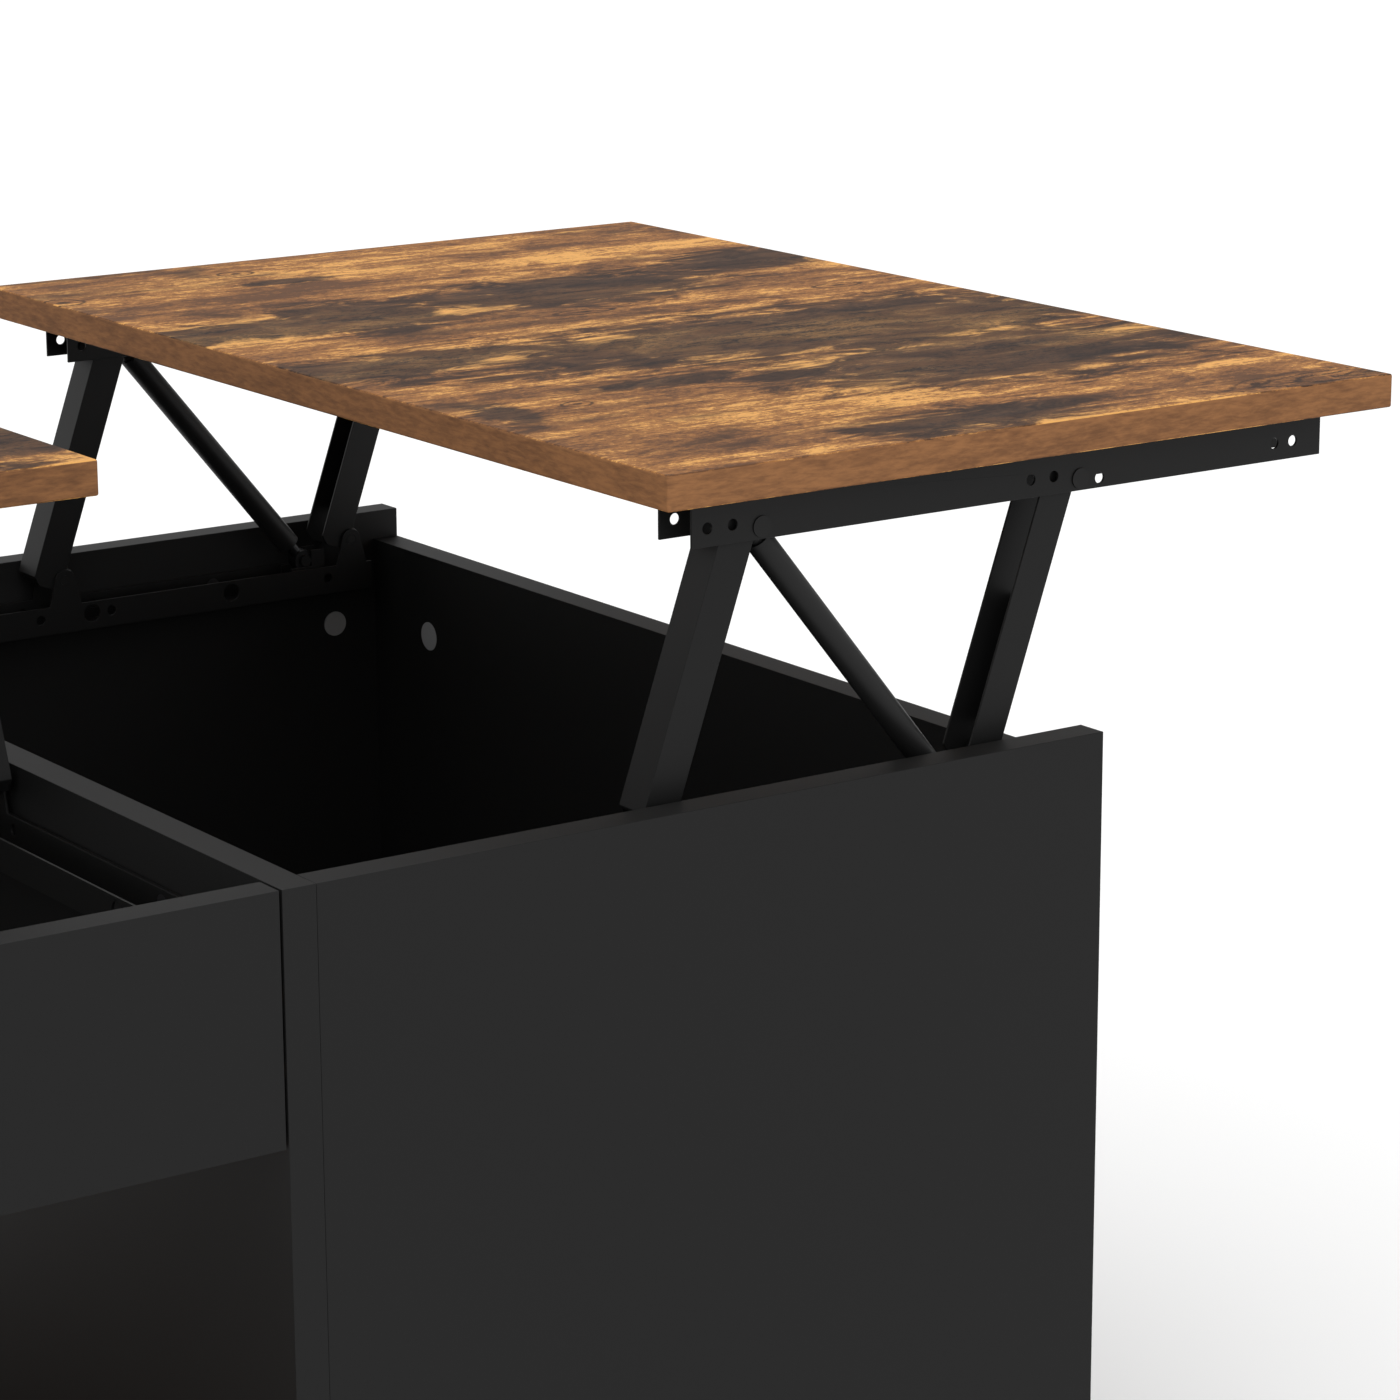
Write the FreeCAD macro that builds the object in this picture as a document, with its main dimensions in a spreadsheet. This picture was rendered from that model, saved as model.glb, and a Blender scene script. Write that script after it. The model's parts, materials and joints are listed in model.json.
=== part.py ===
import FreeCAD, Part
import Sketcher
import math
import os
from FreeCAD import Placement, Rotation, Vector

# Lift top coffee table: two storage sections, each under a top that lifts on two linkages.
#
# +Z is up. Both tops are raised, as modelled. The right top lifts towards +X and the left top
# towards +Y. The origin is on the floor, under the middle of the raised table's outline.
# Lengths are in millimetres and angles in degrees.

# ---------------------------------------------------------------- driving dimensions
SIZES = [
    ("table_length", 1000.0, "body, left end to right end"),
    ("table_depth", 600.0, "body, near side to far side"),
    ("body_height", 435.0, "floor to the panels' top edge"),
    ("right_width", 390.0, "right section, divider to right end"),
    ("board", 15.0, "thickness of every body board"),
    ("top_board", 15.0, "thickness of the two tops"),
    ("top_gap", 2.0, "gap between the closed tops"),
    ("top_edge_round", 1.0, "rounding of the tops' edges"),
    ("apron_height", 104.0, "front apron"),
    ("apron_gap", 1.2, "joint beside each apron"),
    ("finger_gap", 15.0, "drop of the right end panel and the rear apron"),
    ("floor_height", 45.0, "floor to the underside of the bottom boards"),
    ("glide_height", 5.0, "floor glide"),
    ("glide_radius", 7.0, "floor glide"),
    ("glide_inset", 40.0, "glide from the board's ends"),
    ("arm_length", 123.0, "arm, pivot to pivot"),
    ("raised_lean", 19.3, "arm from vertical, raised"),
    ("closed_lean", -93.5, "arm from vertical, closed"),
    ("pivot_spacing", 167.3, "front arm pivot to rear arm pivot"),
    ("upper_pivot_drop", 15.2, "top's underside to the upper pivots"),
    ("steel", 1.2, "sheet thickness of rails and arms"),
    ("rail_length", 340.0, "upper and lower rails"),
    ("upper_rail_width", 24.0, "upper rail, outside"),
    ("upper_rail_height", 20.5, "upper rail"),
    ("lower_rail_width", 21.0, "lower rail, outside"),
    ("lower_rail_top", 12.9, "lower pivots down to the lower rail's edge"),
    ("lower_rail_bottom", 27.2, "lower pivots down to the lower rail's underside"),
    ("rail_lead", 160.6, "front arm pivot back to the lower rail's end"),
    ("upper_rail_lead", 34.8, "front upper pivot back to the upper rail's end"),
    ("panel_to_rail", 13.3, "panel's face to the rails' middle plane"),
    ("right_pivot_inset", 209.8, "right end to the right front arms' pivot"),
    ("left_pivot_inset", 235.0, "near side to the left front arms' pivot"),
    ("arm_width", 16.5, "arm, across its side"),
    ("arm_depth", 18.0, "arm, outside of its two sides"),
    ("arm_ear", 6.0, "radius of the arms' ends round the pivots"),
    ("rail_ear", 5.5, "radius of the lower rail's ears round the pivots"),
    ("rear_web_start", 12.0, "rear arm's web, from the lower pivot"),
    ("rear_web_end", 68.0, "rear arm's web, from the lower pivot"),
    ("rivet_radius", 2.5, "pivot rivets"),
    ("pivot_clearance", 0.05, "running clearance round rivets and the spring rod"),
    ("rivet_head_radius", 4.5, "pivot rivets"),
    ("rivet_head", 1.0, "thickness of the inner rivet heads"),
    ("side_clearance", 0.1, "rivet heads and washers beside a moving arm"),
    ("washer_radius", 5.0, "washers at the upper pivots"),
    ("spring_foot_x", 142.6, "front arm pivot to the spring's lower pin, along the rail"),
    ("spring_foot_drop", 9.3, "lower pivots down to the spring's lower pin"),
    ("barrel_radius", 6.0, "spring barrel"),
    ("barrel_end_gap", 11.6, "spring barrel's open end to the lower pin, raised"),
    ("barrel_bore", 4.6, "radius inside the barrel"),
    ("rod_radius", 3.0, "spring rod"),
    ("bar_start", 1.0, "spring bars, start outside the pins' holes"),
    ("cut_past", 1.0, "how far a cut runs beyond a face"),
    ("rod_end_gap", 21.6, "spring rod's inner end to the upper pin, raised"),
    ("eye_radius", 5.5, "spring eyes"),
    ("eye_width", 8.0, "lower spring eye"),
    ("spring_pin_radius", 3.0, "lower spring pin"),
    ("pin_seat_clearance", 0.1, "round the lower spring pin in its seat"),
    ("ear_foot", 9.0, "half the width of a lower rail ear at its foot"),
    ("arm_corner", 4.0, "cut-off corners of the arms"),
    ("outer_head", 0.6, "thickness of the outer rivet heads"),
    ("barrel_collar", 4.0, "spring eye to the start of the barrel"),
    ("barrel_wall", 3.0, "ends of the spring barrel"),
    ("piston_length", 6.0, "piston on the spring rod"),
    ("eye_clearance", 0.5, "lower spring eye to each side of its seat"),
    ("seat_front", 9.0, "spring seat, ahead of the pin"),
    ("seat_back", 11.0, "spring seat, behind the pin"),
    ("seat_rise", 5.3, "spring seat, above the pin"),
    ("spacer_height", 13.0, "strip behind each lower rail"),
    ("rail_hole_radius", 2.4, "spare holes in the rails"),
    ("rail_hole_drop", 19.0, "lower pivots down to the lower rail's holes"),
    ("rail_hole_lift", 2.5, "upper pivots up to the upper rail's holes"),
    ("hole_before", 14.5, "pivot to the hole before it"),
    ("hole_before_pair", 27.0, "upper rail, outer spare hole before a pivot"),
    ("end_hole_drop", 1.0, "upper rail, hole after the rear pivot, below the pivots' line"),
    ("hole_after", 25.4, "pivot to the hole after it"),
    ("hole_beside", 10.8, "pitch of paired holes"),
    ("end_hole_inset", 16.3, "last holes from the upper rail's end"),
    ("outer_screw", 145.0, "front pivot back to the outer rail screw"),
    ("inner_screw", 95.0, "front pivot on to the inner rail screw"),
    ("top_screw_lead", 20.0, "first top screw from the upper rail's end"),
    ("top_screw_pitch", 95.0, "between top screws"),
    ("pan_head", 2.0, "height of the top screws' heads"),
    ("access_hole_radius", 4.5, "screwdriver holes in the lower rails"),
    ("screw_radius", 2.0, "rail screws"),
    ("screw_length", 12.0, "rail screws and top screws"),
    ("screw_head_radius", 3.8, "rail screws and top screws"),
    ("joint_inset", 60.0, "step between a board's edge and its dowels"),
    ("dowel_radius", 4.0, "wooden dowels"),
    ("dowel_length", 22.0, "wooden dowels"),
    ("dowel_in_face", 10.0, "depth of a dowel in a board's face"),
    ("cam_radius", 7.5, "cam locks"),
    ("cam_depth", 12.0, "cam locks"),
    ("cam_inset", 55.0, "cam lock from the end panel's edge"),
    ("cam_drop", 58.0, "cam lock below the panels' top edge"),
    ("cam_bolt_radius", 3.0, "cam bolts"),
    ("disc_radius", 6.5, "cover discs on the near and far panels"),
    ("disc_height", 0.8, "cover discs"),
    ("disc_inset", 40.0, "cover disc from the right end"),
]

doc = FreeCAD.newDocument("lift_top_table")
sheet = doc.addObject("Spreadsheet::Sheet", "Sheet")
for row, (alias, number, note) in enumerate(SIZES, start=1):
    sheet.set(f"A{row}", note)
    sheet.set(f"B{row}", str(number))
    sheet.setAlias(f"B{row}", alias)
doc.recompute()


class Dim:
    """A size that carries its value and the expression that binds it to the sheet."""

    def __init__(self, value, text):
        self.value = value
        self.text = text

    def __add__(self, other):
        other = dim(other)
        return Dim(self.value + other.value, f"({self.text} + {other.text})")

    def __sub__(self, other):
        other = dim(other)
        return Dim(self.value - other.value, f"({self.text} - {other.text})")

    def __mul__(self, factor):
        factor = dim(factor)
        return Dim(self.value * factor.value, f"({self.text} * {factor.text})")

    def __truediv__(self, divisor):
        return Dim(self.value / divisor, f"({self.text} / {divisor})")

    def __neg__(self):
        return Dim(-self.value, f"(-1 * {self.text})")

    def __radd__(self, other):
        return dim(other) + self

    def __rsub__(self, other):
        return dim(other) - self


def dim(number):
    """Turn a plain number into a Dim, and leave a Dim as it is."""
    if isinstance(number, Dim):
        return number
    return Dim(float(number), f"({float(number)})")


def cell(alias):
    return Dim(float(sheet.get(alias)), f"{sheet.Name}.{alias}")


def sine(angle):
    return Dim(math.sin(math.radians(angle.value)), f"sin({angle.text} * 1 deg)")


def cosine(angle):
    return Dim(math.cos(math.radians(angle.value)), f"cos({angle.text} * 1 deg)")


def hypotenuse(first, second):
    return Dim(math.hypot(first.value, second.value), f"sqrt({first.text}^2 + {second.text}^2)")


S = {alias: cell(alias) for alias, number, note in SIZES}
ZERO = dim(0)

# ---------------------------------------------------------------- worked-out places
travel = S["arm_length"] * (sine(S["raised_lean"]) - sine(S["closed_lean"]))
rise = S["arm_length"] * (cosine(S["raised_lean"]) - cosine(S["closed_lean"]))
lower_pivot_drop = S["upper_pivot_drop"] + S["arm_length"] * cosine(S["closed_lean"])
left_x = -(S["table_length"] + travel) / 2
right_x = left_x + S["table_length"]
near_y = -(S["table_depth"] + travel) / 2
far_y = near_y + S["table_depth"]
divider_x = right_x - S["right_width"] - S["board"]
panel_top = S["body_height"]
panel_bottom = S["glide_height"]
panel_height = panel_top - panel_bottom
pivot_z = panel_top - lower_pivot_drop
raised_z = panel_top + rise
upper_x = S["arm_length"] * sine(S["raised_lean"])
upper_z = S["arm_length"] * cosine(S["raised_lean"])
arm_inner = S["arm_depth"] / 2 - S["steel"]
lower_inner = S["lower_rail_width"] / 2 - S["steel"]
upper_inner = S["upper_rail_width"] / 2 - S["steel"]
spring_angle = math.atan2(S["spring_foot_x"].value - upper_x.value,
                          S["spring_foot_drop"].value + upper_z.value)
spring_reach = hypotenuse(S["spring_foot_x"] - upper_x, S["spring_foot_drop"] + upper_z)
barrel_length = spring_reach - S["barrel_end_gap"]
rod_length = spring_reach - S["rod_end_gap"]

kept = []


def keep(obj, label):
    """Give a finished sub-part its name and list it for export."""
    obj.Label = label
    kept.append(obj)
    return obj


def bind(obj, prop, size):
    obj.setExpression(prop, dim(size).text)


def put(obj, x, y, z):
    """Place an object, each coordinate bound to the sheet."""
    for axis, size in zip("xyz", (x, y, z)):
        bind(obj, f"Placement.Base.{axis}", size)


def box(name, x, y, z, length, width, height):
    """A box from its low corner and its three sizes."""
    obj = doc.addObject("Part::Box", name)
    bind(obj, "Length", length)
    bind(obj, "Width", width)
    bind(obj, "Height", height)
    put(obj, x, y, z)
    return obj


TURNS = {
    "+X": Rotation(Vector(0, 1, 0), 90),
    "-X": Rotation(Vector(0, 1, 0), -90),
    "+Y": Rotation(Vector(1, 0, 0), -90),
    "-Y": Rotation(Vector(1, 0, 0), 90),
    "+Z": Rotation(),
    "-Z": Rotation(Vector(1, 0, 0), 180),
}


def cylinder(name, radius, height, x, y, z, way="+Z"):
    """A cylinder that starts at a point and runs one way along an axis."""
    obj = doc.addObject("Part::Cylinder", name)
    bind(obj, "Radius", radius)
    bind(obj, "Height", height)
    obj.Placement = Placement(Vector(), TURNS[way])
    put(obj, x, y, z)
    return obj


def fuse(name, shapes):
    obj = doc.addObject("Part::MultiFuse", name)
    obj.Shapes = shapes
    return obj


def group(name, shapes):
    obj = doc.addObject("Part::Compound", name)
    obj.Links = shapes
    return obj


def cut(name, base, tools):
    """The base less its tools, or the base alone when it has none."""
    if not tools:
        return base
    obj = doc.addObject("Part::Cut", name)
    obj.Base = base
    obj.Tool = group(f"{name}_tools", tools)
    return obj


# ---------------------------------------------------------------- sketches and bodies
def sketch_on_side(body, name):
    """A sketch on the body's own XZ plane."""
    plane = [item for item in body.Origin.OriginFeatures if item.Role == "XZ_Plane"][0]
    sketch = body.newObject("Sketcher::SketchObject", name)
    sketch.AttachmentSupport = [(plane, "")]
    sketch.MapMode = "FlatFace"
    return sketch


def pin_point(sketch, geometry, point, x, z):
    """Fix one point of a sketch by two distances from the origin, bound to the sheet."""
    for kind, size in (("DistanceX", dim(x)), ("DistanceY", dim(z))):
        index = sketch.addConstraint(
            Sketcher.Constraint(kind, -1, 1, geometry, point, size.value))
        sketch.setExpression(f"Constraints[{index}]", size.text)


def polygon(body, name, corners):
    """A closed outline with straight sides."""
    sketch = sketch_on_side(body, name)
    spots = [Vector(dim(x).value, dim(z).value, 0) for x, z in corners]
    for index, spot in enumerate(spots):
        after = spots[(index + 1) % len(spots)]
        sketch.addGeometry(Part.LineSegment(spot, after), False)
    for index, (x, z) in enumerate(corners):
        following = (index + 1) % len(corners)
        sketch.addConstraint(Sketcher.Constraint("Coincident", index, 2, following, 1))
        pin_point(sketch, index, 1, x, z)
    return sketch


def circles(body, name, rounds):
    """Circles, each given by its centre and radius."""
    sketch = sketch_on_side(body, name)
    for index, (x, z, radius) in enumerate(rounds):
        centre = Vector(dim(x).value, dim(z).value, 0)
        sketch.addGeometry(Part.Circle(centre, Vector(0, 0, 1), dim(radius).value), False)
        row = sketch.addConstraint(Sketcher.Constraint("Radius", index, dim(radius).value))
        sketch.setExpression(f"Constraints[{row}]", dim(radius).text)
        pin_point(sketch, index, 3, x, z)
    return sketch


def pad(body, sketch, width):
    """Thicken a sketch by the same amount to both sides."""
    feature = body.newObject("PartDesign::Pad", f"{sketch.Name}_pad")
    feature.Profile = sketch
    feature.SideType = "Symmetric"
    bind(feature, "Length", width)
    return feature


def pocket(body, sketch, width):
    """Cut a sketch out by the same amount to both sides."""
    feature = body.newObject("PartDesign::Pocket", f"{sketch.Name}_pocket")
    feature.Profile = sketch
    feature.SideType = "Symmetric"
    bind(feature, "Length", width)
    return feature


def rectangle(low_x, low_z, high_x, high_z):
    return [(low_x, low_z), (high_x, low_z), (high_x, high_z), (low_x, high_z)]


# ---------------------------------------------------------------- linkages
class Link:
    """One linkage: its name, front pivot, direction of travel and the side its panel is on."""

    def __init__(self, name, x, y, turn, side):
        self.name = name
        self.x = x
        self.y = y
        self.turn = turn
        self.side = side

    def seat(self, obj, along, across, up, own=None):
        """Place an object from the front lower pivot, turned to the linkage's direction."""
        own = own or Rotation()
        turned = Rotation(Vector(0, 0, 1), self.turn).multiply(own)
        obj.Placement = Placement(Vector(), turned)
        if self.turn == 90:
            put(obj, self.x - dim(across), self.y + dim(along), pivot_z + dim(up))
        else:
            put(obj, self.x + dim(along), self.y + dim(across), pivot_z + dim(up))
        return obj


def lean(degrees):
    return Rotation(Vector(0, 1, 0), degrees)


def lower_rail_body(link):
    """A channel open at the top, with an ear round each pivot and a seat for the spring's pin."""
    name = f"{link.name}_lower_rail"
    body = doc.addObject("PartDesign::Body", f"{name}_body")
    low_x = -S["rail_lead"]
    high_x = low_x + S["rail_length"]
    low_z = -S["lower_rail_bottom"]
    edge_z = -S["lower_rail_top"]
    web_z = low_z + S["steel"]
    ear = S["rail_ear"]
    foot = S["ear_foot"]
    corners = [(low_x, low_z), (high_x, low_z), (high_x, edge_z)]
    for pivot in (S["pivot_spacing"], ZERO):
        corners += [(pivot + foot, edge_z), (pivot + ear, ZERO)]
        corners += [(pivot - ear, ZERO), (pivot - foot, edge_z)]
    corners.append((low_x, edge_z))
    pad(body, polygon(body, f"{name}_side", corners), S["lower_rail_width"])
    ears = [(ZERO, ZERO, ear), (S["pivot_spacing"], ZERO, ear)]
    pad(body, circles(body, f"{name}_ears", ears), S["lower_rail_width"])
    inside = rectangle(low_x - S["cut_past"], web_z, high_x + S["cut_past"],
                       ear + S["cut_past"])
    pocket(body, polygon(body, f"{name}_inside", inside), lower_inner * 2)

    pin_x = S["spring_foot_x"]
    pin_z = -S["spring_foot_drop"]
    room = S["spring_pin_radius"] + S["pin_seat_clearance"]
    seat_low = pin_x - S["seat_front"]
    seat_high = pin_x + S["seat_back"]
    seat_top = pin_z + S["seat_rise"]

    rest = [(seat_high, seat_top), (pin_x + room, seat_top), (pin_x + room, pin_z - room),
            (seat_low, pin_z - room)]
    tab_gap = S["eye_width"] + S["eye_clearance"] * 2
    outline = [(seat_low, low_z), (seat_high, low_z)] + rest
    pad(body, polygon(body, f"{name}_seat", outline), tab_gap + S["steel"] * 2)
    outline = [(seat_low, web_z), (seat_high, web_z)] + rest
    pocket(body, polygon(body, f"{name}_seat_gap", outline), tab_gap)

    holes = [(ZERO, ZERO, S["rivet_radius"]), (S["pivot_spacing"], ZERO, S["rivet_radius"])]
    row_z = -S["rail_hole_drop"]
    for along in (-S["hole_before"], S["hole_after"], S["pivot_spacing"] - S["hole_before"]):
        holes.append((along, row_z, S["rail_hole_radius"]))
    pocket(body, circles(body, f"{name}_holes", holes),
           S["lower_rail_width"] + S["cut_past"] * 2)
    return link.seat(body, ZERO, ZERO, ZERO)


def upper_rail_body(link):
    """A channel open at the bottom, with spare holes beside each pivot and at its far end."""
    name = f"{link.name}_upper_rail"
    body = doc.addObject("PartDesign::Body", f"{name}_body")
    low_x = -S["upper_rail_lead"]
    high_x = low_x + S["rail_length"]
    high_z = S["upper_pivot_drop"]
    low_z = high_z - S["upper_rail_height"]
    outside = rectangle(low_x, low_z, high_x, high_z)
    pad(body, polygon(body, f"{name}_side", outside), S["upper_rail_width"])
    inside = rectangle(low_x - S["cut_past"], low_z - S["cut_past"], high_x + S["cut_past"],
                       high_z - S["steel"])
    pocket(body, polygon(body, f"{name}_inside", inside), upper_inner * 2)
    holes = [(ZERO, ZERO, S["rivet_radius"]), (S["pivot_spacing"], ZERO, S["rivet_radius"])]
    row_z = S["rail_hole_lift"]
    for pivot in (ZERO, S["pivot_spacing"]):
        for before in (S["hole_before_pair"], S["hole_before"]):
            holes.append((pivot - before, row_z, S["rail_hole_radius"]))
    holes.append((S["pivot_spacing"] + S["hole_beside"], -S["end_hole_drop"], S["rail_hole_radius"]))
    for inset in (S["end_hole_inset"], S["end_hole_inset"] + S["hole_beside"]):
        holes.append((high_x - inset, row_z, S["rail_hole_radius"]))
    pocket(body, circles(body, f"{name}_holes", holes),
           S["upper_rail_width"] + S["cut_past"] * 2)
    return link.seat(body, upper_x, ZERO, upper_z)


def arm_blank(name):
    """The outline that both arms share: a strip behind the pivot line, and a round end ear."""
    body = doc.addObject("PartDesign::Body", f"{name}_body")
    width = S["arm_width"]
    ear = S["arm_ear"]
    corner = S["arm_corner"]
    low = -ear
    high = S["arm_length"] + ear
    corners = [(corner - width, low), (ZERO, low), (ZERO, high), (corner - width, high),
               (-width, high - corner), (-width, low + corner)]
    pad(body, polygon(body, f"{name}_side", corners), S["arm_depth"])
    ends = [(ZERO, ZERO, ear), (ZERO, S["arm_length"], ear)]
    pad(body, circles(body, f"{name}_ends", ends), S["arm_depth"])
    return body


def drill_arm(body, name):
    room = S["rivet_radius"] + S["pivot_clearance"]
    holes = [(ZERO, ZERO, room), (ZERO, S["arm_length"], room)]
    pocket(body, circles(body, f"{name}_holes", holes), S["arm_depth"] + 2)


def front_arm(link):
    """The front arm is a channel that is open towards the direction of travel."""
    name = f"{link.name}_front_arm"
    body = arm_blank(name)
    past = S["arm_ear"] + S["cut_past"]
    inside = rectangle(S["steel"] - S["arm_width"], -past, past, S["arm_length"] + past)
    pocket(body, polygon(body, f"{name}_inside", inside), arm_inner * 2)
    drill_arm(body, name)
    keep(link.seat(body, ZERO, ZERO, ZERO, lean(S["raised_lean"].value)), name)
    return body


def rear_arm(link):
    """The rear arm is open the other way, and its web stops short of both ends."""
    name = f"{link.name}_rear_arm"
    body = arm_blank(name)
    past = S["arm_ear"] + S["cut_past"]
    low = -past
    high = S["arm_length"] + past
    behind = -S["arm_width"] - S["cut_past"]
    web = -S["steel"]
    inside = [(behind, low), (past, low), (past, S["rear_web_start"]), (web, S["rear_web_start"]),
              (web, S["rear_web_end"]), (past, S["rear_web_end"]), (past, high), (behind, high)]
    pocket(body, polygon(body, f"{name}_inside", inside), arm_inner * 2)
    drill_arm(body, name)
    keep(link.seat(body, S["pivot_spacing"], ZERO, ZERO, lean(S["raised_lean"].value)), name)
    return body


def rod_along(link, name, radius, start, length, along, up, tilt):
    """A round bar from a pin, at a distance along a tilted line, as part of a spring."""
    obj = doc.addObject("Part::Cylinder", name)
    bind(obj, "Radius", radius)
    bind(obj, "Height", length)
    radians = math.radians(tilt)
    shift = dim(start)
    return link.seat(obj, along + shift * math.sin(radians), ZERO,
                     up + shift * math.cos(radians), lean(tilt))


def crosswise(link, name, radius, along, up, low, length):
    """A round bar across the linkage, from one place across it, for a length."""
    obj = doc.addObject("Part::Cylinder", name)
    bind(obj, "Radius", radius)
    bind(obj, "Height", length)
    return link.seat(obj, along, low, up, TURNS["+Y"])


def spring_barrel(link):
    """The upper half of the telescopic spring: an eye, a tube and its end cap."""
    name = f"{link.name}_spring_barrel"
    tilt = 180 - math.degrees(spring_angle)

    def bar(label, radius, start, length):
        return rod_along(link, f"{name}_{label}", radius, start, length, upper_x, upper_z, tilt)

    eye_half = arm_inner - S["rivet_head"] - S["side_clearance"]
    eye = crosswise(link, f"{name}_eye", S["eye_radius"], upper_x, upper_z, -eye_half, eye_half * 2)
    hole = crosswise(link, f"{name}_pin_hole", S["rivet_radius"] + S["pivot_clearance"],
                     upper_x, upper_z, -eye_half - S["cut_past"],
                     eye_half * 2 + S["cut_past"] * 2)
    collar = S["eye_radius"] + S["barrel_collar"]
    tube = bar("tube", S["barrel_radius"], collar, barrel_length - collar)
    neck = bar("neck", S["barrel_bore"], S["rivet_radius"] + S["bar_start"], collar)
    chamber = bar("chamber", S["barrel_bore"], collar + S["barrel_wall"],
                  barrel_length - collar - S["barrel_wall"] * 2)
    mouth = bar("mouth", S["rod_radius"] + S["pivot_clearance"],
                barrel_length - S["barrel_wall"] * 2, S["barrel_wall"] * 3)
    solid = fuse(f"{name}_solid", [eye, tube, neck])
    return keep(cut(name, solid, [hole, chamber, mouth]), name)


def spring_rod(link):
    """The lower half of the telescopic spring: an eye, a rod and a piston in the barrel."""
    name = f"{link.name}_spring_rod"
    tilt = -math.degrees(spring_angle)
    along = S["spring_foot_x"]
    up = -S["spring_foot_drop"]
    half = S["eye_width"] / 2
    eye = crosswise(link, f"{name}_eye", S["eye_radius"], along, up, -half, half * 2)
    hole = crosswise(link, f"{name}_pin_hole", S["spring_pin_radius"], along, up,
                     -half - S["cut_past"], half * 2 + S["cut_past"] * 2)
    start = S["spring_pin_radius"] + S["bar_start"]
    bar = rod_along(link, f"{name}_bar", S["rod_radius"], start,
                    rod_length - start, along, up, tilt)
    piston = rod_along(link, f"{name}_piston", S["barrel_bore"] - S["pivot_clearance"],
                       rod_length - S["piston_length"], S["piston_length"], along, up, tilt)
    solid = fuse(f"{name}_solid", [eye, bar, piston])
    return keep(cut(name, solid, [hole]), name)


def rivet(link, name, along, up, side, reach, outer_head):
    """A rivet at one side of a pivot: inner head, shank, and an outer head when it has one."""
    head_low = arm_inner - S["side_clearance"] - S["rivet_head"]
    shank = reach - head_low
    parts = [(S["rivet_head_radius"], head_low, S["rivet_head"]),
             (S["rivet_radius"], head_low, shank)]
    if outer_head:
        parts.append((S["rivet_head_radius"], reach, S["outer_head"]))
    pieces = []
    for index, (radius, low, length) in enumerate(parts):
        start = low if side > 0 else -(low + length)
        pieces.append(crosswise(link, f"{name}_{index}", radius, along, up, start, length))
    return fuse(name, pieces)


def through_pin(link, name, along, up):
    """The pin that carries a front arm's upper end and the spring's eye."""
    reach = S["upper_rail_width"] / 2
    shank = crosswise(link, f"{name}_shank", S["rivet_radius"], along, up, -reach, reach * 2)
    heads = [crosswise(link, f"{name}_head_{side}", S["rivet_head_radius"], along, up,
                       reach if side > 0 else -(reach + S["outer_head"]), S["outer_head"])
             for side in (-1, 1)]
    return fuse(name, [shank] + heads)


def foot_rivets(link):
    """Four rivets that hold the two arms to the lower rail's ears."""
    reach = S["lower_rail_width"] / 2
    return [rivet(link, f"{link.name}_foot_{index}_{side + 1}", along, ZERO, side, reach, False)
            for index, along in enumerate((ZERO, S["pivot_spacing"])) for side in (-1, 1)]


def upper_rivets(link):
    """The front arm's through pin and the rear arm's two rivets, in the upper rail."""
    reach = S["upper_rail_width"] / 2
    along = upper_x + S["pivot_spacing"]
    pieces = [through_pin(link, f"{link.name}_front_pin", upper_x, upper_z)]
    for side in (-1, 1):
        pieces.append(rivet(link, f"{link.name}_rear_pin_{side + 1}", along, upper_z, side, reach,
                            True))
    return pieces


def upper_washers(link):
    """A washer on each side of each upper pivot, between the arm and the rail."""
    low = S["arm_depth"] / 2 + S["side_clearance"]
    thickness = upper_inner - low
    pieces = []
    for index, along in enumerate((upper_x, upper_x + S["pivot_spacing"])):
        for side in (-1, 1):
            start = low if side > 0 else -(low + thickness)
            tag = f"{link.name}_washer_{index}_{side + 1}"
            disc = crosswise(link, f"{tag}_disc", S["washer_radius"], along, upper_z, start,
                             thickness)
            bore = crosswise(link, f"{tag}_bore", S["rivet_radius"], along, upper_z, start,
                             thickness)
            pieces.append(cut(tag, disc, [bore]))
    return pieces


SCREW_SPOTS = [-S["outer_screw"], S["hole_before"], S["inner_screw"]]
TOP_SCREW_SPOTS = [S["top_screw_lead"], S["top_screw_lead"] + S["top_screw_pitch"],
                   S["top_screw_lead"] + S["top_screw_pitch"] * 2,
                   S["top_screw_lead"] + S["top_screw_pitch"] * 3]


def rail_screws(link):
    """Countersunk screws through the lower rail and its spacer into the panel."""
    pieces = []
    face = lower_inner
    way = TURNS["+Y"] if link.side > 0 else TURNS["-Y"]
    for index, along in enumerate(SCREW_SPOTS):
        tag = f"{link.name}_rail_screw_{index}"
        head = doc.addObject("Part::Cone", f"{tag}_head")
        bind(head, "Radius1", S["screw_head_radius"])
        bind(head, "Radius2", S["screw_radius"])
        bind(head, "Height", S["screw_radius"])
        shank = doc.addObject("Part::Cylinder", f"{tag}_shank")
        bind(shank, "Radius", S["screw_radius"])
        bind(shank, "Height", S["screw_length"])
        for obj in (head, shank):
            link.seat(obj, along, face * link.side, -S["rail_hole_drop"], way)
        pieces.append(fuse(tag, [head, shank]))
    return pieces


def access_holes(link):
    """Screwdriver holes in the lower rail's open side, opposite its screws."""
    far = -(lower_inner + S["steel"] + S["cut_past"])
    start = lower_inner - S["cut_past"] if link.side < 0 else far
    return [crosswise(link, f"{link.name}_access_{index}", S["access_hole_radius"], along,
                      -S["rail_hole_drop"], start, S["steel"] + S["cut_past"] * 2)
            for index, along in enumerate(SCREW_SPOTS)]


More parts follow.
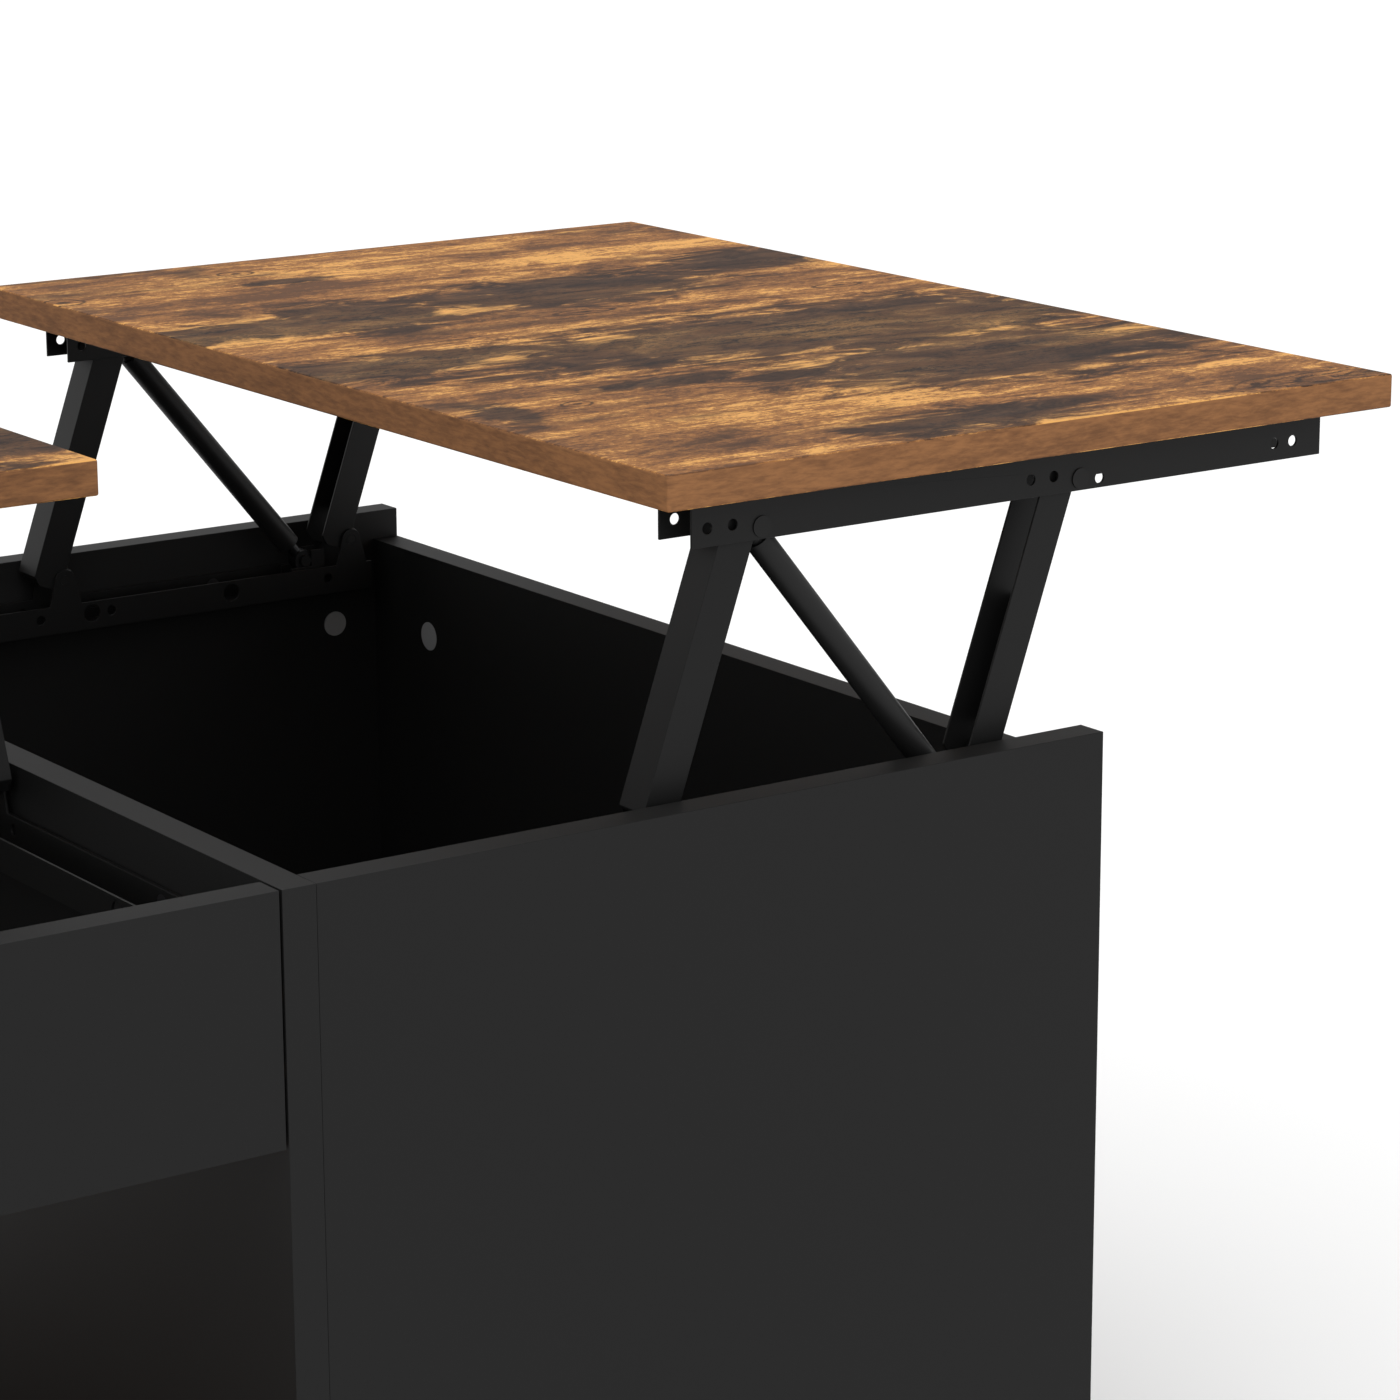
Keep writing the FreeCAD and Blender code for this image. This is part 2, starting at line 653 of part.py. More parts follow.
def rail_spacer(link, screws):
    """The strip that holds the lower rail off the panel, clear of the upper rail's side."""
    thickness = S["panel_to_rail"] - S["lower_rail_width"] / 2
    low = S["lower_rail_width"] / 2 if link.side > 0 else -S["panel_to_rail"]
    strip = doc.addObject("Part::Box", f"{link.name}_spacer_strip")
    bind(strip, "Length", S["rail_length"])
    bind(strip, "Width", thickness)
    bind(strip, "Height", S["spacer_height"])
    link.seat(strip, -S["rail_lead"], low, -S["lower_rail_bottom"])
    return cut(f"{link.name}_spacer", strip, screws)


def top_screws(link):
    """Pan head screws from inside the upper rail up into the top."""
    pieces = []
    web = upper_z + S["upper_pivot_drop"] - S["steel"]
    for index, along in enumerate(TOP_SCREW_SPOTS):
        place = upper_x - S["upper_rail_lead"] + along
        tag = f"{link.name}_top_screw_{index}"
        head = doc.addObject("Part::Cylinder", f"{tag}_head")
        bind(head, "Radius", S["screw_head_radius"])
        bind(head, "Height", S["pan_head"])
        link.seat(head, place, ZERO, web - S["pan_head"])
        shank = doc.addObject("Part::Cylinder", f"{tag}_shank")
        bind(shank, "Radius", S["screw_radius"])
        bind(shank, "Height", S["screw_length"])
        link.seat(shank, place, ZERO, web)
        pieces.append(fuse(tag, [head, shank]))
    return pieces

LINKS = {
    "right": [
        Link("right_near", right_x - S["right_pivot_inset"],
             near_y + S["board"] + S["panel_to_rail"], 0, -1),
        Link("right_far", right_x - S["right_pivot_inset"],
             far_y - S["board"] - S["panel_to_rail"], 0, 1),
    ],
    "left": [
        Link("left_inner", divider_x - S["panel_to_rail"],
             near_y + S["left_pivot_inset"], 90, -1),
        Link("left_outer", left_x + S["board"] + S["panel_to_rail"],
             near_y + S["left_pivot_inset"], 90, 1),
    ],
}
PANEL_OF = {"right_near": "near_panel", "right_far": "far_panel",
            "left_inner": "divider", "left_outer": "left_end_panel"}

bores = {}


def bore(board, *tools):
    """Note what is to be cut out of a board."""
    bores.setdefault(board, []).extend(tools)


for half, links in LINKS.items():
    foot, upper, washers, wall_screws, lid_screws, pins = [], [], [], [], [], []
    for link in links:
        screws = rail_screws(link)
        bore(PANEL_OF[link.name], *screws)
        rail = cut(f"{link.name}_lower_rail", lower_rail_body(link), screws + access_holes(link))
        keep(rail, f"{link.name}_lower_rail")
        keep(rail_spacer(link, screws), f"{link.name}_rail_spacer")
        lifting = top_screws(link)
        keep(cut(f"{link.name}_upper_rail", upper_rail_body(link), lifting),
             f"{link.name}_upper_rail")
        bore(f"{half}_top", *lifting)
        front_arm(link)
        rear_arm(link)
        spring_barrel(link)
        spring_rod(link)
        reach = S["eye_width"] / 2 + S["eye_clearance"] + S["steel"]
        pins.append(crosswise(link, f"{link.name}_spring_pin", S["spring_pin_radius"],
                              S["spring_foot_x"], -S["spring_foot_drop"], -reach, reach * 2))
        foot += foot_rivets(link)
        upper += upper_rivets(link)
        washers += upper_washers(link)
        wall_screws += screws
        lid_screws += lifting
    keep(group(f"{half}_foot_rivets", foot), f"{half}_foot_rivets")
    keep(group(f"{half}_upper_rivets", upper), f"{half}_upper_rivets")
    keep(group(f"{half}_pivot_washers", washers), f"{half}_pivot_washers")
    keep(group(f"{half}_rail_screws", wall_screws), f"{half}_rail_screws")
    keep(group(f"{half}_top_screws", lid_screws), f"{half}_top_screws")
    keep(group(f"{half}_spring_pins", pins), f"{half}_spring_pins")

# ---------------------------------------------------------------- joinery
inner_left = left_x + S["board"]
inner_right = right_x - S["board"]
inner_near = near_y + S["board"]
inner_far = far_y - S["board"]
right_wall = divider_x + S["board"]
half_board = S["board"] / 2
apron_low = panel_top - S["apron_height"]
dowels = []


def dowel(way, x, y, z, *boards):
    """A dowel across a joint at a point, running from the board's face into the other's edge."""
    start = {"X": x, "Y": y}
    step = -S["dowel_in_face"] if way[0] == "+" else S["dowel_in_face"]
    start[way[1]] = start[way[1]] + step
    peg = cylinder(f"dowel_{len(dowels)}", S["dowel_radius"], S["dowel_length"], start["X"],
                   start["Y"], z, way)
    dowels.append(peg)
    for board in boards:
        bore(board, peg)


heights = [panel_bottom + S["joint_inset"], panel_top - S["joint_inset"] * 2]
for z in heights:
    dowel("+X", right_wall, near_y + half_board, z, "divider", "near_panel")
    dowel("+X", right_wall, far_y - half_board, z, "divider", "far_panel")
    dowel("+Y", right_x - half_board, inner_near, z, "near_panel", "right_end_panel")
    dowel("-Y", right_x - half_board, inner_far, z, "far_panel", "right_end_panel")
for apron, y in (("front_apron", near_y + half_board), ("rear_apron", far_y - half_board)):
    for z in (apron_low + S["joint_inset"] / 2, apron_low + S["joint_inset"]):
        dowel("+X", inner_left, y, z, "left_end_panel", apron)
        dowel("-X", divider_x, y, z, "divider", apron)
for y_inset, floor_z, floor, low, low_board, high, high_board in (
        (S["joint_inset"] * 2, apron_low + half_board, "left_floor",
         inner_left, "left_end_panel", divider_x, "divider"),
        (S["joint_inset"] * 2, S["floor_height"] + half_board, "left_shelf",
         inner_left, "left_end_panel", divider_x, "divider"),
        (S["joint_inset"] * 3, S["floor_height"] + half_board, "right_floor",
         right_wall, "divider", inner_right, "right_end_panel")):
    for y in (near_y + y_inset, far_y - y_inset):
        dowel("+X", low, y, floor_z, low_board, floor)
        dowel("-X", high, y, floor_z, high_board, floor)
keep(group("dowels", dowels), "dowels")

cams, bolts, discs = [], [], []
for z in (panel_top - S["cam_drop"], panel_bottom + S["cam_drop"] * 2):
    for panel, edge, way, sign in (("near_panel", inner_near, "+Y", 1),
                                   ("far_panel", inner_far, "-Y", -1)):
        tag = f"{panel}_{len(cams)}"
        cam_y = edge + S["cam_inset"] * sign
        cams.append(cylinder(f"cam_{tag}", S["cam_radius"], S["cam_depth"], inner_right, cam_y, z,
                             "+X"))
        start = edge - S["dowel_in_face"] * sign
        length = S["dowel_in_face"] + S["cam_inset"] - S["cam_radius"]
        bolts.append(cylinder(f"cam_bolt_{tag}", S["cam_bolt_radius"], length,
                              right_x - half_board, start, z, way))
        bore("right_end_panel", cams[-1], bolts[-1])
        bore(panel, bolts[-1])
for y, way in ((inner_near, "+Y"), (inner_far, "-Y")):
    discs.append(cylinder(f"disc_{way[0]}", S["disc_radius"], S["disc_height"],
                          right_x - S["disc_inset"], y, panel_top - S["cam_drop"], way))
keep(group("cam_locks", cams), "cam_locks")
keep(group("cam_bolts", bolts), "cam_bolts")
keep(group("cover_discs", discs), "cover_discs")

glides = []
for x in (right_wall + S["glide_inset"], right_x - S["glide_inset"]):
    for y in (near_y + half_board, far_y - half_board):
        glides.append((x, y))
for x in (left_x + half_board, divider_x + half_board):
    for y in (near_y + S["glide_inset"], far_y - S["glide_inset"]):
        glides.append((x, y))
keep(group("floor_glides", [
    cylinder(f"glide_{index}", S["glide_radius"], S["glide_height"], x, y, ZERO)
    for index, (x, y) in enumerate(glides)]), "floor_glides")

# ---------------------------------------------------------------- boards
apron_x = inner_left + S["apron_gap"]
apron_length = divider_x - inner_left - S["apron_gap"] * 2
between = S["table_depth"] - S["board"] * 2
left_width = divider_x - inner_left
BOARDS = {
    "near_panel": (right_wall, near_y, panel_bottom, S["right_width"], S["board"], panel_height),
    "far_panel": (right_wall, inner_far, panel_bottom, S["right_width"], S["board"],
                  panel_height),
    "right_end_panel": (inner_right, inner_near, panel_bottom, S["board"], between,
                        panel_height - S["finger_gap"]),
    "divider": (divider_x, near_y, panel_bottom, S["board"], S["table_depth"], panel_height),
    "left_end_panel": (left_x, near_y, panel_bottom, S["board"], S["table_depth"],
                       panel_height),
    "front_apron": (apron_x, near_y, apron_low, apron_length, S["board"], S["apron_height"]),
    "rear_apron": (apron_x, inner_far, apron_low, apron_length, S["board"],
                   S["apron_height"] - S["finger_gap"]),
    "left_floor": (inner_left, inner_near, apron_low, left_width, between, S["board"]),
    "left_shelf": (inner_left, near_y, S["floor_height"], left_width, S["table_depth"],
                   S["board"]),
    "right_floor": (right_wall, inner_near, S["floor_height"],
                    S["right_width"] - S["board"], between, S["board"]),
}
for name, sizes in BOARDS.items():
    blank = box(f"{name}_blank", *sizes)
    keep(cut(name, blank, bores.get(name, [])), name)

TOPS = {
    "right_top": (right_wall + travel, near_y, S["right_width"]),
    "left_top": (left_x, near_y + travel,
                 S["table_length"] - S["right_width"] - S["top_gap"]),
}
for name, (x, y, width) in TOPS.items():
    blank = box(f"{name}_blank", x, y, raised_z, width, S["table_depth"], S["top_board"])
    doc.recompute()
    rounded = doc.addObject("Part::Fillet", f"{name}_rounded")
    rounded.Base = blank
    radius = S["top_edge_round"].value
    rounded.Edges = [(edge + 1, radius, radius) for edge in range(len(blank.Shape.Edges))]
    keep(cut(name, rounded, bores[name]), name)

# ---------------------------------------------------------------- build, check and export
doc.recompute()
for obj in doc.Objects:
    if "Invalid" in obj.State or "Error" in obj.State:
        raise RuntimeError(f"{obj.Label} did not build: {obj.State}")
for obj in kept:
    if obj.Shape.isNull() or not obj.Shape.isValid():
        raise RuntimeError(f"{obj.Label} has no valid shape")

os.makedirs("parts", exist_ok=True)
for obj in kept:
    obj.Shape.exportStep(f"parts/{obj.Label}.step")
    bounds = obj.Shape.BoundBox
    print(f"{obj.Label:28s} {len(obj.Shape.Solids):3d} solids {obj.Shape.Volume:12.1f} mm3  "
          f"x {bounds.XMin:8.1f} {bounds.XMax:8.1f}  y {bounds.YMin:8.1f} {bounds.YMax:8.1f}  "
          f"z {bounds.ZMin:7.1f} {bounds.ZMax:7.1f}")
print(f"{len(kept)} nodes; travel {travel.value:.2f}, rise {rise.value:.2f}")
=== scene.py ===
import json
import math

import bpy
from mathutils import Matrix, Vector

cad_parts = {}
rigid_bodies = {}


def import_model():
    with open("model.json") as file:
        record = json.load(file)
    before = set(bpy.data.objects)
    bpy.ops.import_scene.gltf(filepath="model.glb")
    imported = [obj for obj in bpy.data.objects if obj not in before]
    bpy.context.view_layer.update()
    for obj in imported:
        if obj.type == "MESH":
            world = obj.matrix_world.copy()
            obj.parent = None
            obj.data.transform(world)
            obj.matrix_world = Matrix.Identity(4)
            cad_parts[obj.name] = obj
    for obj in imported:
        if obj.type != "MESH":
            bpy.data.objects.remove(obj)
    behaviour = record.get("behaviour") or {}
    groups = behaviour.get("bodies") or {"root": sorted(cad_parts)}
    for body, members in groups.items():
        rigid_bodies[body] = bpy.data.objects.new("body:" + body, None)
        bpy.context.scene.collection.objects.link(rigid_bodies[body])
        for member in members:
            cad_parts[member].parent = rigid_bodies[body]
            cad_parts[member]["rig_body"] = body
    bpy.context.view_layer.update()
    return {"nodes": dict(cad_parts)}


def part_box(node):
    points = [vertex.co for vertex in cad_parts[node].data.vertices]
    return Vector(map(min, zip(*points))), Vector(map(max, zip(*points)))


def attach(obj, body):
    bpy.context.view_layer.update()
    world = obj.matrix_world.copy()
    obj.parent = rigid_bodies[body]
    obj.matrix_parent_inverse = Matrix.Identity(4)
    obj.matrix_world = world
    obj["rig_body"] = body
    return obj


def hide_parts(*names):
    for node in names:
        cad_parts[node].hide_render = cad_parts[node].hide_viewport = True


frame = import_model()

# ---------------------------------------------------------------------------------------------
# The cabinet boards: near and far panel, right end panel, divider, left end panel, both aprons
# and the floors. Each is 15 mm particle board faced with black melamine paper and edged with
# black tape, sawn square and barely eased, so its corners show only as a thin line of light.
MM = 0.001
BLACK_BOARDS = ["near_panel", "far_panel", "right_end_panel", "divider", "left_end_panel",
                "front_apron", "rear_apron", "left_floor", "right_floor"]
BOARD_EASE = 0.35
EASE_STEPS = 2
MERGE_WITHIN = 0.001 * MM
FLAT_WITHIN = math.radians(0.4)
SMOOTH_UNDER = math.radians(35)
FLAT_FACE_WEIGHT = 100
GRAIN_ROUGHNESS = 0.55
MELAMINE_BLACK = "#1B1B1B"


def linear(colour, alpha=1.0):
    """An sRGB hex colour as the linear red, green, blue and alpha that a shader takes."""
    parts = [int(colour[i:i + 2], 16) / 255 for i in (1, 3, 5)]
    return [p / 12.92 if p <= 0.04045 else ((p + 0.055) / 1.055) ** 2.4 for p in parts] + [alpha]


def add(tree, kind, settings=None, links=None):
    """Adds one node. Each input, by name or place, takes a value, another node's first output
    or one of its other outputs."""
    made = tree.nodes.new("ShaderNode" + kind)
    for key, value in (settings or {}).items():
        setattr(made, key, value)
    for key, value in (links or {}).items():
        if isinstance(value, bpy.types.Node):
            value = value.outputs[0]
        if isinstance(value, bpy.types.NodeSocket):
            tree.links.new(value, made.inputs[key])
        else:
            made.inputs[key].default_value = value
    return made


def finish_of(name, shader):
    """A new material with only a Principled shader, whose own sockets take the plain values."""
    material = bpy.data.materials.new(name)
    material.use_nodes = True
    tree = material.node_tree
    tree.nodes.clear()
    surface = add(tree, "BsdfPrincipled", links=shader)
    add(tree, "OutputMaterial", links={"Surface": surface.outputs["BSDF"]})
    return material, tree, surface


def in_lengths(tree, lengths, shift=(0, 0, 0)):
    """Object coordinates counted in real lengths (mm) along X, Y and Z, from a shifted start."""
    place = add(tree, "TexCoord").outputs["Object"]
    scale = [1 / (length * MM) for length in lengths]
    return add(tree, "Mapping", links={"Vector": place, "Scale": scale, "Location": shift})


def grained_finish(name, shader, grain, depth, strength=0.2, detail=2):
    """A finish of one colour with a fine relief, the grain's lengths and its depth in mm."""
    material, tree, surface = finish_of(name, shader)
    height = add(tree, "TexNoise", links={
        "Vector": in_lengths(tree, grain), "Scale": 1.0, "Detail": detail,
        "Roughness": GRAIN_ROUGHNESS, "Distortion": 0.0})
    pressed = add(tree, "Bump", links={
        "Height": height, "Strength": strength, "Distance": depth * MM})
    tree.links.new(pressed.outputs["Normal"], surface.inputs["Normal"])
    return material


def eased(node, ease, finish):
    """The CAD shape again, triangles joined into faces and sharp corners eased by so many mm."""
    bpy.ops.object.select_all(action="DESELECT")
    source = frame["nodes"][node]
    source.select_set(True)
    bpy.context.view_layer.objects.active = source
    bpy.ops.object.duplicate()
    piece = bpy.context.active_object
    for key in list(piece.keys()):
        del piece[key]
    piece.parent = None
    piece.matrix_world = Matrix.Identity(4)
    piece.name = node + "_eased"
    piece.data.materials.clear()
    piece.data.materials.append(finish)
    bpy.ops.object.mode_set(mode="EDIT")
    bpy.ops.mesh.select_all(action="SELECT")
    bpy.ops.mesh.customdata_custom_splitnormals_clear()
    bpy.ops.mesh.remove_doubles(threshold=MERGE_WITHIN)
    bpy.ops.mesh.dissolve_limited(angle_limit=FLAT_WITHIN)
    bpy.ops.object.mode_set(mode="OBJECT")
    edge = piece.modifiers.new("eased corner", "BEVEL")
    edge.width = ease * MM
    edge.segments = EASE_STEPS
    edge.limit_method = "ANGLE"
    edge.angle_limit = SMOOTH_UNDER
    edge.use_clamp_overlap = False
    bpy.ops.object.modifier_apply(modifier=edge.name)
    bpy.ops.object.shade_smooth_by_angle(angle=SMOOTH_UNDER)
    flat = piece.modifiers.new("flat faces", "WEIGHTED_NORMAL")
    flat.weight = FLAT_FACE_WEIGHT
    flat.keep_sharp = True
    bpy.ops.object.modifier_apply(modifier=flat.name)
    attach(piece, source["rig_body"])
    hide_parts(node)
    return piece


# Black melamine-faced board: printed paper under clear melamine, pressed with a shallow pore, so
# it is deep grey-black with a broad weak sheen and no grain in its colour. The real pore is about
# 0.2 mm across and is drawn at 0.9 mm, so that it breaks up the sheen.
melamine = grained_finish("black_melamine_board", {
    "Base Color": linear(MELAMINE_BLACK), "Roughness": 0.58, "IOR": 1.5,
    "Specular IOR Level": 0.14}, grain=(0.9, 0.9, 0.9), depth=0.02, strength=0.3)
for board in BLACK_BOARDS:
    eased(board, BOARD_EASE, melamine)

# ---------------------------------------------------------------------------------------------
# The open shelf board: 15 mm particle board faced with the same rustic brown wood print as the
# two tops. The print is honey pine with scorched patches, knots and fine pores, drawn along X.
HONEY_LIGHT = "#DDA45E"
HONEY_MID = "#94653D"
HONEY_DARK = "#634531"
SCORCH = "#41342D"
SCORCH_DEEP = "#2B2422"
PORE_BROWN = "#3F2F27"
PRINT_SHADER = {"Roughness": 0.6, "IOR": 1.5, "Specular IOR Level": 0.03}

# Each layer of the print: its lengths in mm along X, Y and Z, its detail, the roughness of that
# detail and its swirl. Streaks are growth lines, clouds the changes of tone along them, planks
# the wide slow ones, specks the print's dots and pores its dark hair lines. Real pores are about
# 0.3 mm wide and are drawn at 1.3 mm, so that they show.
PRINT_LAYERS = {
    "streak": ((60, 6, 6), 6, 0.66, 0.7),
    "cloud": ((38, 20, 20), 6, 0.70, 0.9),
    "plank": ((190, 55, 55), 3, 0.55, 0.4),
    "speck": ((3.2, 1.8, 1.8), 3, 0.75, 0.5),
    "pore": ((14, 1.3, 1.3), 3, 0.70, 0.3),
    "smoke": ((110, 42, 42), 5, 0.62, 0.8),
}
TONE_SHARES = {"streak": 0.36, "cloud": 0.44, "plank": 0.48, "speck": 0.36}
HONEY_STOPS = [(0.72, HONEY_DARK), (0.82, HONEY_MID), (0.92, HONEY_LIGHT)]
SCORCH_STOPS = [(0.40, SCORCH_DEEP), (0.62, SCORCH)]
LAYER_MIDDLE = 0.5
RAGGED_BY_CLOUD = 2.2
RAGGED_BY_STREAK = 1.3
KNOT_WOBBLE = 0.6
KNOT_CLEARING = 0.75
SEED_SKEW = 1.7
SMOKE_SHIFT = 9
PORE_STRENGTH = 0.35
PORE_DEPTH = 0.05

# An oval's length through the board, so long that its depth never counts.
BOARD_THROUGH = 1e6

# Where each mark starts and ends, on its layer's level or in oval radii from the middle, and how
# strong it is at those two ends.
SMOKE_MARK = {"From Min": 0.52, "From Max": 0.70, "To Min": 0.0, "To Max": 0.75}
SCORCH_MARK = {"From Min": 0.72, "From Max": 1.25, "To Min": 1.0, "To Max": 0.0}
SCORCH_WEAR = {"From Min": 0.85, "From Max": 1.2, "To Min": 0.7, "To Max": 1.0}
PORE_MARK = {"From Min": 0.60, "From Max": 0.70, "To Min": 0.0, "To Max": 0.55}
KNOT_RING = {"From Min": 0.35, "From Max": 0.95, "To Min": 0.0, "To Max": 0.75}
KNOT_RIM = {"From Min": 0.75, "From Max": 1.05, "To Min": 1.0, "To Max": 0.0}
KNOT_EYE = {"From Min": 0.10, "From Max": 0.26, "To Min": 0.9, "To Max": 0.0}

# A Math node's operations, and the settings of the Map Range and Mix nodes.
PLUS = {"operation": "ADD"}
MINUS = {"operation": "SUBTRACT"}
TIMES = {"operation": "MULTIPLY"}
LARGER = {"operation": "MAXIMUM"}
SMOOTHLY = {"interpolation_type": "SMOOTHSTEP"}
COLOURS = {"data_type": "RGBA"}
FIRST_COLOUR, SECOND_COLOUR, MIXED_COLOUR = 6, 7, 2


def set_stops(ramp, stops):
    """Gives a colour ramp its smooth stops, each a place from 0 to 1 and a colour."""
    band = ramp.color_ramp
    band.interpolation = "EASE"
    while len(band.elements) < len(stops):
        band.elements.new(0.5)
    for element, (place, colour) in zip(band.elements, stops):
        element.position = place
        element.color = linear(colour)
    return ramp


def oval(tree, centre, half, wander):
    """0 at the middle of an oval on the board and 1 at its rim, with a wandering outline."""
    shift = [-c / h for c, h in zip(centre, half)] + [0.0]
    where = in_lengths(tree, (*half, BOARD_THROUGH), shift)
    reach = add(tree, "VectorMath", {"operation": "LENGTH"}, {0: where}).outputs["Value"]
    return add(tree, "Math", PLUS, {0: reach, 1: wander})


def rustic_print(name, corner, scorches, knots, seed):
    """The wood print of one board. Ovals are (x, y, half length, half width) in mm from corner,
    and a knot also has its number of rings."""
    material, tree, surface = finish_of(name, PRINT_SHADER)
    start = (seed, seed * SEED_SKEW, 0)
    smoke_start = (seed + SMOKE_SHIFT, seed, 0)
    layer = {}
    for kind, (lengths, detail, roughness, swirl) in PRINT_LAYERS.items():
        where = in_lengths(tree, lengths, smoke_start if kind == "smoke" else start)
        layer[kind] = add(tree, "TexNoise", links={
            "Vector": where, "Scale": 1.0, "Detail": detail, "Roughness": roughness,
            "Distortion": swirl})

    # the honey ground, from dark to light with the sum of the first four layers
    tone = 0.0
    for kind, share in TONE_SHARES.items():
        part = add(tree, "Math", TIMES, {0: layer[kind], 1: share})
        tone = add(tree, "Math", PLUS, {0: tone, 1: part})
    ground = set_stops(add(tree, "ValToRGB", links={"Fac": tone}), HONEY_STOPS)

    # scorched patches: soft ovals with a ragged, streaked outline, and stray smoky clouds
    cloud_sway = add(tree, "Math", MINUS, {0: layer["cloud"], 1: LAYER_MIDDLE})
    streak_sway = add(tree, "Math", MINUS, {0: layer["streak"], 1: LAYER_MIDDLE})
    by_cloud = add(tree, "Math", TIMES, {0: cloud_sway, 1: RAGGED_BY_CLOUD})
    by_streak = add(tree, "Math", TIMES, {0: streak_sway, 1: RAGGED_BY_STREAK})
    ragged = add(tree, "Math", PLUS, {0: by_cloud, 1: by_streak})
    burnt = add(tree, "MapRange", SMOOTHLY, {"Value": layer["smoke"], **SMOKE_MARK})
    for x, y, long, wide in scorches:
        rim = oval(tree, (corner[0] + x, corner[1] + y), (long, wide), ragged)
        patch = add(tree, "MapRange", SMOOTHLY, {"Value": rim, **SCORCH_MARK})
        burnt = add(tree, "Math", LARGER, {0: burnt, 1: patch})
    worn = add(tree, "Math", PLUS, {0: layer["speck"], 1: layer["streak"]})
    thin = add(tree, "MapRange", SMOOTHLY, {"Value": worn, **SCORCH_WEAR})
    burnt = add(tree, "Math", TIMES, {0: burnt, 1: thin})
    char = set_stops(add(tree, "ValToRGB", links={"Fac": layer["cloud"]}), SCORCH_STOPS)
    colour = add(tree, "Mix", COLOURS, {
        0: burnt, FIRST_COLOUR: ground, SECOND_COLOUR: char}).outputs[MIXED_COLOUR]

    # fine pores and dark hair lines of the print
    line = add(tree, "MapRange", SMOOTHLY, {"Value": layer["pore"], **PORE_MARK})
    colour = add(tree, "Mix", COLOURS, {
        0: line, FIRST_COLOUR: colour, SECOND_COLOUR: linear(PORE_BROWN)}).outputs[MIXED_COLOUR]

    # knots: a dark eye with rings that widen along the grain
    wobble = add(tree, "Math", TIMES, {0: cloud_sway, 1: KNOT_WOBBLE})
    for x, y, long, wide, rings in knots:
        rim = oval(tree, (corner[0] + x, corner[1] + y), (long, wide), wobble)
        turns = add(tree, "Math", TIMES, {0: rim, 1: rings * math.tau})
        wave = add(tree, "Math", {"operation": "SINE"}, {0: turns})
        ring = add(tree, "MapRange", SMOOTHLY, {"Value": wave, **KNOT_RING})
        fade = add(tree, "MapRange", SMOOTHLY, {"Value": rim, **KNOT_RIM})
        eye = add(tree, "MapRange", SMOOTHLY, {"Value": rim, **KNOT_EYE})
        rings_kept = add(tree, "Math", TIMES, {0: ring, 1: fade})
        mark = add(tree, "Math", LARGER, {0: rings_kept, 1: eye})
        clear = add(tree, "Math", TIMES, {0: fade, 1: KNOT_CLEARING})
        colour = add(tree, "Mix", COLOURS, {
            0: clear, FIRST_COLOUR: colour, SECOND_COLOUR: ground}).outputs[MIXED_COLOUR]
        colour = add(tree, "Mix", COLOURS, {
            0: mark, FIRST_COLOUR: colour,
            SECOND_COLOUR: linear(SCORCH_DEEP)}).outputs[MIXED_COLOUR]
    tree.links.new(colour, surface.inputs["Base Color"])
    pressed = add(tree, "Bump", links={
        "Height": layer["pore"], "Strength": PORE_STRENGTH, "Distance": PORE_DEPTH * MM})
    tree.links.new(pressed.outputs["Normal"], surface.inputs["Normal"])
    return material


# Rustic brown print under clear melamine: warm honey wood with scorched bands, and so little
# sheen that the figure reads from every side.
SHELF_SCORCHES = [(160, 200, 90, 40), (330, 430, 70, 30)]
SHELF_KNOTS = [(90, 90, 22, 9, 3)]
SHELF_SEED = 4.0
shelf_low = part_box("left_shelf")[0] / MM
shelf_print = rustic_print("rustic_print_shelf", shelf_low, SHELF_SCORCHES, SHELF_KNOTS,
                           SHELF_SEED)
eased("left_shelf", BOARD_EASE, shelf_print)

# ---------------------------------------------------------------------------------------------
# Fixings of the cabinet: beech dowels, zinc cam locks with their bolts, plastic cover discs and
# floor glides. They are turned, cast or moulded small parts and stay as the CAD gives them.
BEECH_DARK = "#B58F62"
BEECH_LIGHT = "#C9A77C"
BEECH_STOPS = [(0.35, BEECH_DARK), (0.65, BEECH_LIGHT)]
FLECK = (2.0, 2.0, 2.0)
ZINC = "#B9BBBD"
CAST_GREY = "#A6A8AA"
DISC_GREY = "#8C8C8C"
GLIDE_BLACK = "#1B1B1B"


def dress(node, finish):
    """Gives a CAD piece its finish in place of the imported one."""
    mesh = frame["nodes"][node].data
    for place in range(len(mesh.materials)):
        mesh.materials[place] = finish


# Turned beech, unvarnished: pale and dull, with short darker flecks. A real fleck is about 1 mm
# and is drawn at 2 mm.
beech, tree, surface = finish_of("turned_beech", {"Roughness": 0.6, "IOR": 1.5})
fleck = add(tree, "TexNoise", links={
    "Vector": in_lengths(tree, FLECK), "Scale": 1.0, "Detail": 3,
    "Roughness": GRAIN_ROUGHNESS, "Distortion": 0.0})
tint = set_stops(add(tree, "ValToRGB", links={"Fac": fleck}), BEECH_STOPS)
tree.links.new(tint.outputs["Color"], surface.inputs["Base Color"])

# Bright zinc plate on a turned steel bolt: a cool mirror, blurred by crystals that are well under
# 0.1 mm and are drawn at 0.8 mm.
zinc = grained_finish("bright_zinc_plate", {
    "Base Color": linear(ZINC), "Metallic": 1.0, "Roughness": 0.34},
    grain=(0.8, 0.8, 0.8), depth=0.02, detail=3)

